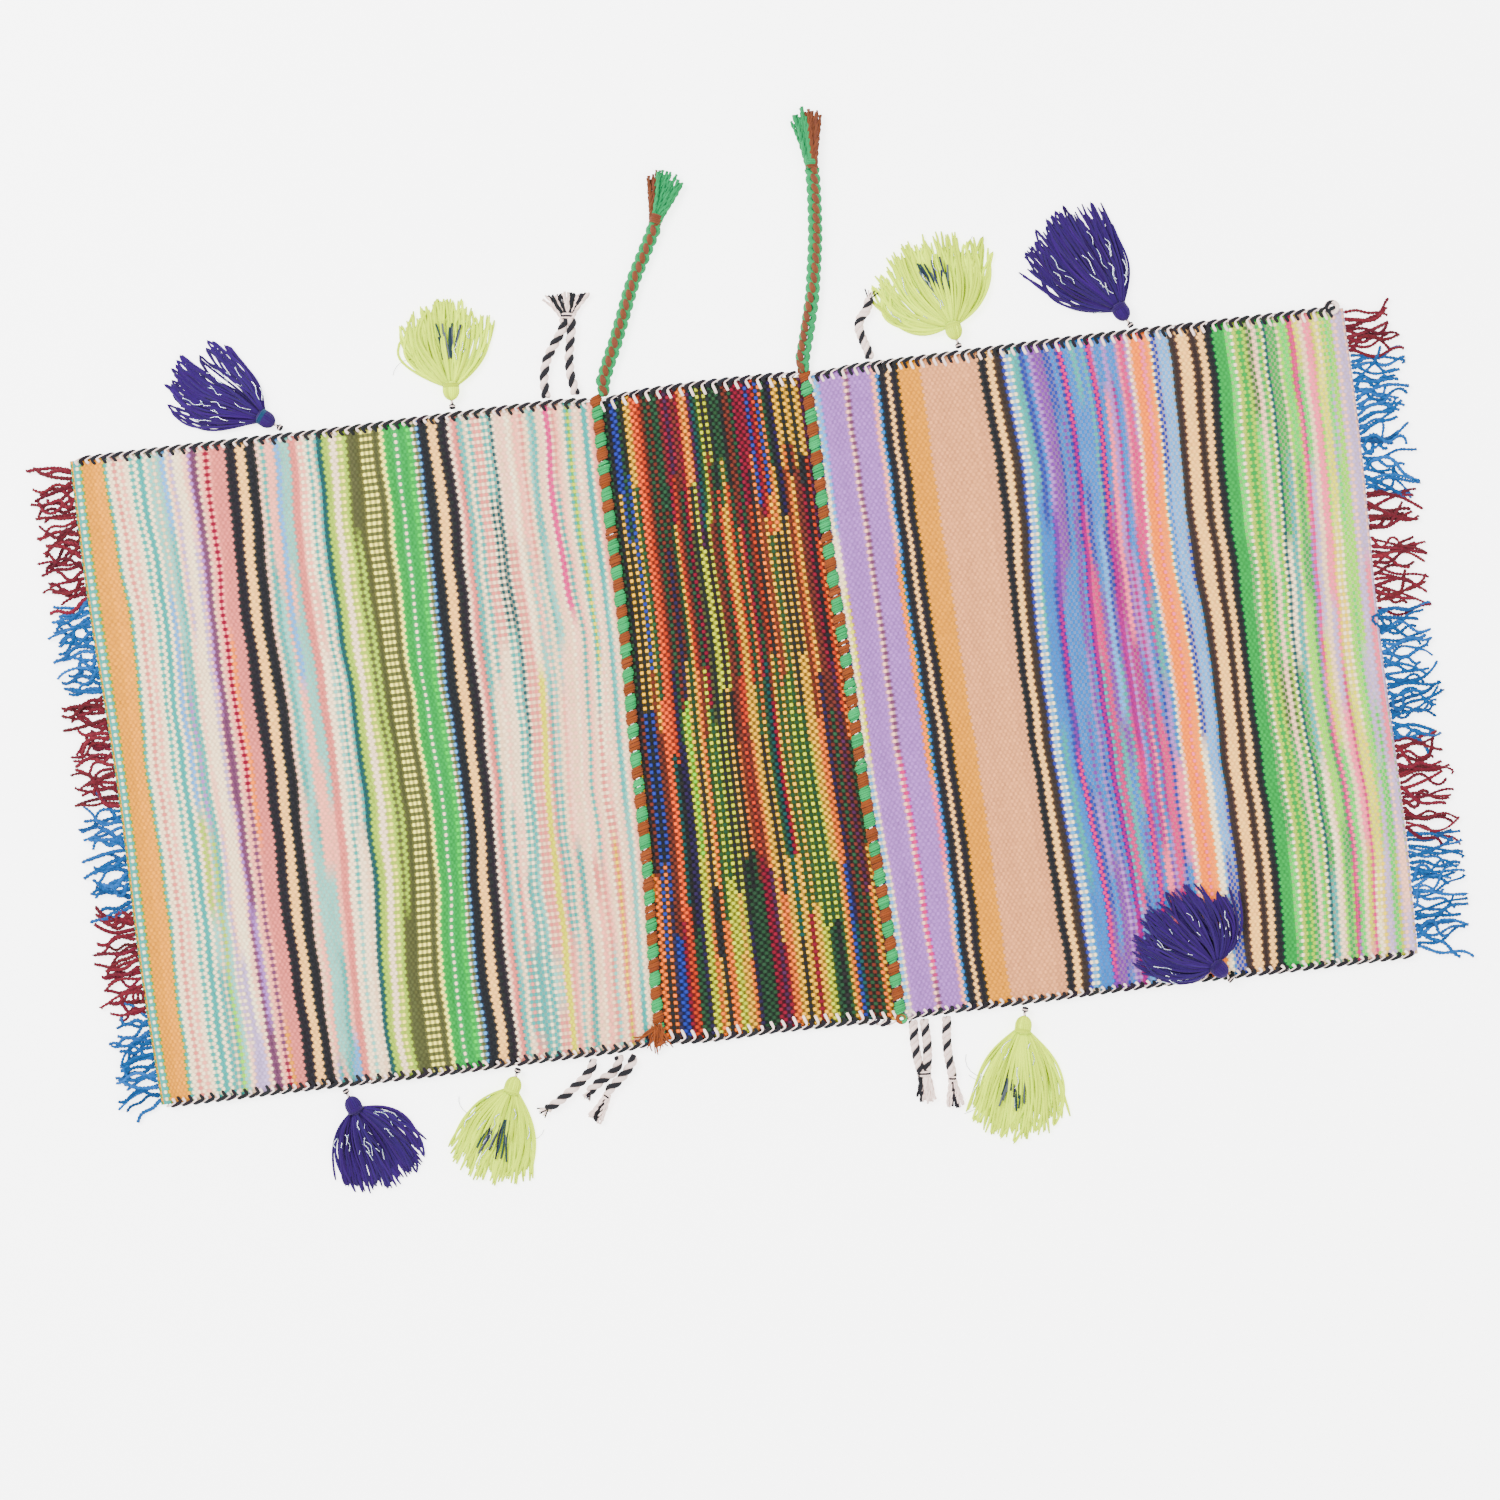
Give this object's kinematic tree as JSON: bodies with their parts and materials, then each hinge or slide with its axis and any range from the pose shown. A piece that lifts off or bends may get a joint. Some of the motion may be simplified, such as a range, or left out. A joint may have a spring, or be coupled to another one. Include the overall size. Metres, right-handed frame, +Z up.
{
  "type": "runner rug",
  "caption": "Hand-woven striped wool textile in three laced panels, two of them flat pouches, with overcast edges, end fringe, tassels, twisted ties and braids, laid flat as a runner.",
  "frame": {"origin": "middle of the cloth, on the centre panel's underside", "axes": "+X along the length from the pale pouch to the bright one, +Y across towards the braids, +Z up"},
  "size_m": [1.1806, 0.8982, 0.0268],
  "materials": {
    "centre_cloth": "matt wool weave, dark multicolour stripes",
    "left_cloth": "matt wool weave, pale stripes",
    "right_cloth": "matt wool weave, bright stripes",
    "lacing_yarn": "matt wool yarn, green with terracotta",
    "overcast_cord": "matt wool cord, black and white",
    "red_fringe": "matt plied wool",
    "blue_fringe": "matt plied wool",
    "purple_yarn": "soft yarn with tinsel strands",
    "lime_yarn": "soft yarn with tinsel strands"
  },
  "bodies": {
    "centre": {"centre_panel": "centre_cloth", "centre_far_binding": "overcast_cord", "centre_near_binding": "overcast_cord", "left_lacing": "lacing_yarn", "right_lacing": "lacing_yarn", "left_braid": "lacing_yarn", "left_braid_tuft": "lacing_yarn", "right_braid": "lacing_yarn", "right_braid_tuft": "lacing_yarn"},
    "left_pouch": {"left_pouch_top": "left_cloth", "left_pouch_underside": "left_cloth", "left_far_binding": "overcast_cord", "left_near_binding": "overcast_cord", "left_fringe_red_1": "red_fringe", "left_fringe_blue_1": "blue_fringe", "left_fringe_red_2": "red_fringe", "left_fringe_blue_2": "blue_fringe", "left_fringe_red_3": "red_fringe", "left_fringe_blue_3": "blue_fringe", "left_far_tie_1": "overcast_cord", "left_far_tie_2": "overcast_cord", "left_far_tie_tuft": "overcast_cord", "left_near_tie_1": "overcast_cord", "left_near_tie_2": "overcast_cord", "left_near_tie_3": "overcast_cord", "left_near_tie_tuft": "overcast_cord"},
    "right_pouch": {"right_pouch_top": "right_cloth", "right_pouch_underside": "right_cloth", "right_far_binding": "overcast_cord", "right_near_binding": "overcast_cord", "right_fringe_red_1": "red_fringe", "right_fringe_blue_1": "blue_fringe", "right_fringe_red_2": "red_fringe", "right_fringe_blue_2": "blue_fringe", "right_fringe_red_3": "red_fringe", "right_fringe_blue_3": "blue_fringe", "right_far_tie": "overcast_cord", "right_near_tie_1": "overcast_cord", "right_near_tie_2": "overcast_cord", "right_near_tie_3": "overcast_cord", "right_near_tie_tuft_1": "overcast_cord", "right_near_tie_tuft_2": "overcast_cord"},
    "purple_tassel_left_far": {"purple_tassel_left_far": "purple_yarn", "purple_tassel_left_far_hanger": "overcast_cord"},
    "lime_tassel_left_far": {"lime_tassel_left_far": "lime_yarn", "lime_tassel_left_far_hanger": "overcast_cord"},
    "lime_tassel_right_far": {"lime_tassel_right_far": "lime_yarn", "lime_tassel_right_far_hanger": "overcast_cord"},
    "purple_tassel_right_far": {"purple_tassel_right_far": "purple_yarn", "purple_tassel_right_far_hanger": "overcast_cord"},
    "purple_tassel_left_near": {"purple_tassel_left_near": "purple_yarn", "purple_tassel_left_near_hanger": "overcast_cord"},
    "lime_tassel_left_near": {"lime_tassel_left_near": "lime_yarn", "lime_tassel_left_near_hanger": "overcast_cord"},
    "lime_tassel_right_near": {"lime_tassel_right_near": "lime_yarn", "lime_tassel_right_near_hanger": "overcast_cord"},
    "purple_tassel_right_near": {"purple_tassel_right_near": "purple_yarn", "purple_tassel_right_near_hanger": "overcast_cord"}
  },
  "joints": [
    {"name": "left_pouch_fold", "type": "hinge", "parent": "centre", "child": "left_pouch", "pos_m": [-0.10295, 0, 0.0017], "axis": [0.0192, 0.9998, 0], "range_deg": [-90, 80]},
    {"name": "right_pouch_fold", "type": "hinge", "parent": "centre", "child": "right_pouch", "pos_m": [0.08995, 0, 0.0017], "axis": [0.0304, -0.9995, 0], "range_deg": [-90, 80]},
    {"name": "purple_tassel_left_far_swing", "type": "hinge", "parent": "left_pouch", "child": "purple_tassel_left_far", "pos_m": [-0.36565, 0.28251, 0.00636], "axis": [1, 0, 0], "range_deg": [-60, 110]},
    {"name": "lime_tassel_left_far_swing", "type": "hinge", "parent": "left_pouch", "child": "lime_tassel_left_far", "pos_m": [-0.21865, 0.28251, 0.00636], "axis": [1, 0, 0], "range_deg": [-60, 110]},
    {"name": "lime_tassel_right_far_swing", "type": "hinge", "parent": "right_pouch", "child": "lime_tassel_right_far", "pos_m": [0.21405, 0.28251, 0.00636], "axis": [1, 0, 0], "range_deg": [-60, 110]},
    {"name": "purple_tassel_right_far_swing", "type": "hinge", "parent": "right_pouch", "child": "purple_tassel_right_far", "pos_m": [0.36105, 0.28251, 0.00636], "axis": [1, 0, 0], "range_deg": [-60, 110]},
    {"name": "purple_tassel_left_near_swing", "type": "hinge", "parent": "left_pouch", "child": "purple_tassel_left_near", "pos_m": [-0.37775, -0.28251, 0.00636], "axis": [-1, 0, 0], "range_deg": [-60, 110]},
    {"name": "lime_tassel_left_near_swing", "type": "hinge", "parent": "left_pouch", "child": "lime_tassel_left_near", "pos_m": [-0.23075, -0.28251, 0.00636], "axis": [-1, 0, 0], "range_deg": [-60, 110]},
    {"name": "lime_tassel_right_near_swing", "type": "hinge", "parent": "right_pouch", "child": "lime_tassel_right_near", "pos_m": [0.20295, -0.28251, 0.00636], "axis": [-1, 0, 0], "range_deg": [-60, 110]},
    {"name": "purple_tassel_right_near_swing", "type": "hinge", "parent": "right_pouch", "child": "purple_tassel_right_near", "pos_m": [0.37895, -0.2789, 0.00785], "axis": [1, 0, 0], "range_deg": [0, 180]}
  ]
}
